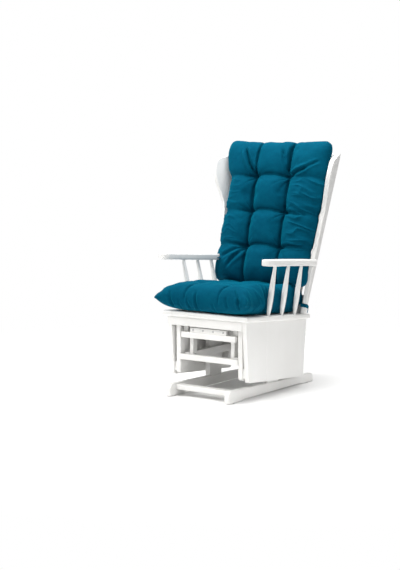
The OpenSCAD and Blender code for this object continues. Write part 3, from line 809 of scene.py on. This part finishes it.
def tape(name, points, across, origin, turn, mirrored):
    """A flat woven tape along points of the frame (origin, turn), its width lying in the direction across."""
    path = rounded_path(points)
    step = np.gradient(path, axis=0)
    step /= np.linalg.norm(step, axis=1, keepdims=True)
    wide = np.array(across, float) - step * (step @ np.array(across, float))[:, None]
    wide /= np.linalg.norm(wide, axis=1, keepdims=True)
    out = np.cross(wide, step)
    h, t = TAPE_W / 2, TAPE_T / 2
    upper = [(-h + t, t), (-h / 3, t), (h / 3, t), (h - t, t)]
    section = [(-h, 0), *upper, (h, 0), *((a, -b) for a, b in reversed(upper))]
    rings = np.stack([path + wide * a + out * b for a, b in section], 1)
    n, k = rings.shape[:2]
    ids = np.arange(n * k).reshape(n, k)
    nxt = np.roll(ids, -1, axis=1)
    faces = np.stack([ids[:-1], nxt[:-1], nxt[1:], ids[1:]], -1).reshape(-1, 4).tolist()
    faces += [ids[0][::-1].tolist(), ids[-1].tolist()]
    flip = -1 if mirrored else 1
    verts = []
    for v in rings.reshape(-1, 3):
        w = origin + turn @ Vector(v)
        verts.append((w.x * flip, w.y, w.z))
    mesh = bpy.data.meshes.new(name)
    mesh.from_pydata(verts, [], [f[::-1] for f in faces] if mirrored else faces)
    bm = bmesh.new()
    bm.from_mesh(mesh)
    bmesh.ops.recalc_face_normals(bm, faces=bm.faces)
    bm.to_mesh(mesh)
    bm.free()
    o = bpy.data.objects.new(name, mesh)
    bpy.context.collection.objects.link(o)
    smooth_by_angle(o, SHADE_TAPE)
    finish_with(o, CLOTH)
    length = float(np.linalg.norm(np.diff(path, axis=0), axis=1).sum())
    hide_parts("cushion_ties")
    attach(o, "seat")
    return o, length


# the crest rail's top over the back frame's origin, and the top tapes' distance from the middle
CREST_TOP, TIE_X = 0.7256, 0.213
# the depth of the wing's foot, and the height at which the lower tapes go round it
FOOT_DEPTH, FOOT_H = 0.0483, 0.030
# the routes, sideways, in depth and in height: over the crest rail, from the middle of its top, round the
# wing's foot, from its rear corner, and down from there for the free end
over_crest = [(TIE_X + x, y, CREST_TOP + z) for x, y, z in (
    (0, -0.0296, -0.040), (0, -0.0296, -0.006), (0, -0.0294, 0.0012), (0, -0.0230, 0.0016),
    (0, -0.0130, 0.0016), (0, -0.0068, 0.0010), (0, -0.0064, -0.008), (0, -0.0060, -0.026),
    (0.002, -0.0040, -0.044), (0.001, -0.0058, -0.062))]
round_foot = [(x, y, FOOT_H) for x, y in (
    (-0.025, -FOOT_DEPTH - 0.0012), (-0.006, -FOOT_DEPTH - 0.0012), (0.0010, -FOOT_DEPTH - 0.0008),
    (0.0014, -FOOT_DEPTH + 0.006), (0.0014, -0.010), (0.0014, -0.0010), (0.0008, 0.0014), (-0.004, 0.0016),
    (-0.015, 0.0016))]
hanging_end = [(x, y, FOOT_H + z) for x, y, z in (
    (0.0032, -0.001, 0.004), (0.0036, -0.001, -0.008), (0.0044, 0.001, -0.016), (0.0036, 0.003, -0.027))]
for side, mirrored in (("right", False), ("left", True)):
    for kind, points, across, origin, turn, rest in (
            ("top_tie_", over_crest, (1, 0, 0), BACK_ORIGIN, LEAN_BACK, "crest_rail"),
            ("foot_tie_", round_foot, (0, 0, 1), WING_ORIGIN, WING_TURN, "wing_" + side),
            ("tie_end_", hanging_end, (0, 1, 0), WING_ORIGIN, WING_TURN, "wing_" + side)):
        piece, length = tape(kind + side, points, across, origin, turn, mirrored)


# ---------------------------------------------------------------- stage and light
def floor_plane(name, size, at, mat):
    """A square floor of the stage."""
    bm = bmesh.new()
    bmesh.ops.create_grid(bm, x_segments=1, y_segments=1, size=size / 2)
    mesh = bpy.data.meshes.new(name)
    bm.to_mesh(mesh)
    bm.free()
    o = bpy.data.objects.new(name, mesh)
    o.location = at
    bpy.context.collection.objects.link(o)
    o.data.materials.append(mat)


def pale_floor(name, solid, gone):
    """Matt white, fading into the white background between the distances solid and gone from the middle."""
    m = Nodes(name)
    m.out(Base_Color=(0.96, 0.96, 0.955, 1), Roughness=0.9, Specular_IOR_Level=0.1)
    away = m.add("VectorMath", {0: m.where}, operation="LENGTH").outputs["Value"]
    fade = m.add("MapRange", {"Value": away, "From Min": solid, "From Max": gone},
                 interpolation_type="SMOOTHSTEP")
    clear = m.add("BsdfTransparent")
    both = m.add("MixShader", {0: fade.outputs["Result"], 1: m.bsdf.outputs[0], 2: clear.outputs[0]})
    m.tree.links.new(both.outputs[0], m.tree.nodes["Material Output"].inputs["Surface"])
    return m.mat


# the floor lies a hair below the floor pads, is solid to FLOOR_SOLID from the middle and gone at FLOOR_GONE
FLOOR_SIZE, FLOOR_Z, FLOOR_SOLID, FLOOR_GONE = 6, -0.0002, 0.8, 2.2
floor_plane("floor", FLOOR_SIZE, (0, 0, FLOOR_Z), pale_floor("pale_floor", FLOOR_SOLID, FLOOR_GONE))


def area_light(name, at, target, side, power, colour=(1, 1, 1)):
    """A square soft light: its place, what it points at, its side in metres and its power in watts."""
    data = bpy.data.lights.new(name, "AREA")
    data.shape = "RECTANGLE"
    data.size = data.size_y = side
    data.energy = power
    data.color = colour
    o = bpy.data.objects.new(name, data)
    o.location = at
    o.rotation_euler = (Vector(target) - Vector(at)).to_track_quat("-Z", "Y").to_euler()
    bpy.context.collection.objects.link(o)


area_light("key", (-2.3, -2.3, 2.6), (0, 0, 0.6), 1.1, 84, (1.0, 0.99, 0.97))
area_light("fill", (3.0, -1.6, 1.8), (0, 0, 0.5), 1.6, 25)
area_light("top", (0.0, 0.0, 3.2), (0, 0, 0.6), 1.8, 112)

# the object is lit by a dim white world, behind which the camera sees plain white
WORLD_GLOW, BACKDROP = 0.42, 1.0
world = bpy.data.worlds.new("studio")
bpy.context.scene.world = world
world.use_nodes = True
tree = world.node_tree
glow = tree.nodes["Background"]
backdrop = tree.nodes.new("ShaderNodeBackground")
seen = tree.nodes.new("ShaderNodeLightPath").outputs["Is Camera Ray"]
pick = tree.nodes.new("ShaderNodeMixShader")
for b, strength in ((glow, WORLD_GLOW), (backdrop, BACKDROP)):
    b.inputs["Strength"].default_value = strength
    b.inputs["Color"].default_value = (1.0, 1.0, 1.0, 1)
tree.links.new(seen, pick.inputs[0])
tree.links.new(glow.outputs[0], pick.inputs[1])
tree.links.new(backdrop.outputs[0], pick.inputs[2])
tree.links.new(pick.outputs[0], tree.nodes["World Output"].inputs["Surface"])
bpy.context.scene.view_settings.view_transform = "Standard"
